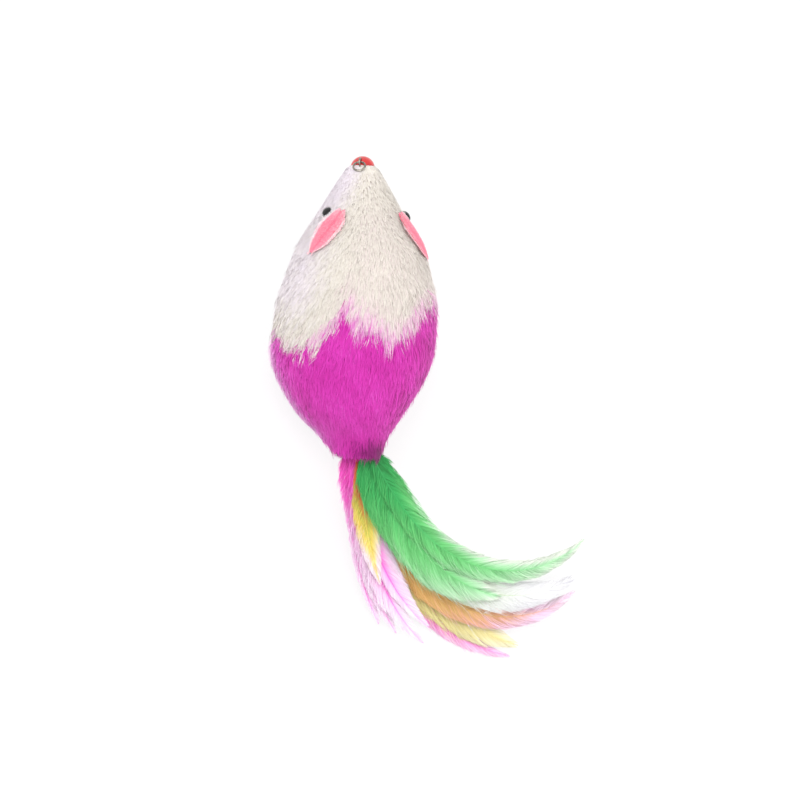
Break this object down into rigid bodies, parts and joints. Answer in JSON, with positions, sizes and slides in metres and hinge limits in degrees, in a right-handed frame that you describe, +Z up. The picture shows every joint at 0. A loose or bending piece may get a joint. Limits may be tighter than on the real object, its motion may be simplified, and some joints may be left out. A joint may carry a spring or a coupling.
{
  "type": "cat teaser lure",
  "caption": "Fur mouse with a feather tail: the lure for a cat teaser wand's line, with a rattle inside and a ring at the nose.",
  "frame": {"origin": "on the surface that the mouse lies on, in the flat of the belly, below the widest section of the body", "axes": "+Z up from the belly to the back, +Y from the tail to the nose, +X to the mouse's right, the side that the tail sweeps to"},
  "size_m": [0.0648, 0.0926, 0.0244],
  "materials": {
    "white_fur": "short ivory-white fur pile, lying back towards the tail",
    "magenta_fur": "short fur pile dyed magenta",
    "ear_leather": "thin suede-like leather dyed pink",
    "eye_bead": "polished black bead",
    "nose_bead": "polished red bead",
    "steel_wire": "plain drawn wire",
    "rattle_steel": "plain ball",
    "core_plastic": "moulded, uncoloured",
    "capsule_plastic": "moulded, uncoloured",
    "quill_glue": "set glue, pale amber",
    "thread": "wound thread",
    "green_vane": "dyed feather, green to pale tips",
    "white_vane": "undyed feather",
    "orange_vane": "dyed feather, orange and tan to pink tips",
    "yellow_vane": "dyed feather, yellow to cream",
    "pink_vane": "dyed feather, pink to pale lilac tips",
    "magenta_vane": "dyed feather, magenta"
  },
  "bodies": {
    "body": {"front_pelt": "white_fur", "rear_pelt": "magenta_fur", "left_eye": "eye_bead", "right_eye": "eye_bead", "nose_bead": "nose_bead", "nose_staple": "steel_wire", "core_shell_left": "core_plastic", "core_shell_right": "core_plastic", "rattle_cup": "capsule_plastic", "rattle_lid": "capsule_plastic", "tail_plug": "core_plastic", "glued_quill_ends": "quill_glue"},
    "tail_root": {"quill_binding": "thread"},
    "feather_tail": {"magenta_feather": "magenta_vane", "yellow_feather": "yellow_vane", "pink_plume_1": "pink_vane", "pink_plume_2": "pink_vane", "orange_feather": "orange_vane", "pink_plume_3": "pink_vane", "pink_plume_4": "pink_vane", "yellow_plume": "yellow_vane", "white_feather": "white_vane", "green_feather_1": "green_vane", "green_feather_2": "green_vane", "green_feather_3": "green_vane"},
    "left_ear": {"left_ear": "ear_leather"},
    "right_ear": {"right_ear": "ear_leather"},
    "ring": {"line_ring": "steel_wire"},
    "ball": {"rattle_ball": "rattle_steel"}
  },
  "joints": [
    {"name": "tail_sway", "type": "hinge", "parent": "body", "child": "tail_root", "pos_m": [0, -0.0207, 0.0099], "axis": [0, 0, 1], "range_deg": [-14, 14], "stiffness_Nm_per_rad": 0.004},
    {"name": "tail_lift", "type": "hinge", "parent": "tail_root", "child": "feather_tail", "pos_m": [0, -0.0207, 0.0099], "axis": [-1, 0, 0], "range_deg": [-12, 20], "stiffness_Nm_per_rad": 0.004},
    {"name": "left_ear_flap", "type": "hinge", "parent": "body", "child": "left_ear", "pos_m": [-0.0061, 0.02273, 0.01468], "axis": [-0.647, 0.1768, -0.7417], "range_deg": [0, 45], "stiffness_Nm_per_rad": 0.0002},
    {"name": "right_ear_flap", "type": "hinge", "parent": "body", "child": "right_ear", "pos_m": [0.00545, 0.0227, 0.0147], "axis": [-0.6863, -0.1282, 0.7159], "range_deg": [0, 45], "stiffness_Nm_per_rad": 0.0002},
    {"name": "ring_swing", "type": "hinge", "parent": "body", "child": "ring", "pos_m": [-0.00131, 0.03143, 0.01011], "axis": [-0.8572, 0, -0.515], "range_deg": [0, 115]},
    {"name": "rattle_travel", "type": "slide", "parent": "body", "child": "ball", "axis": [0, 1, 0], "range_m": [-0.0021, 0.0021]}
  ]
}
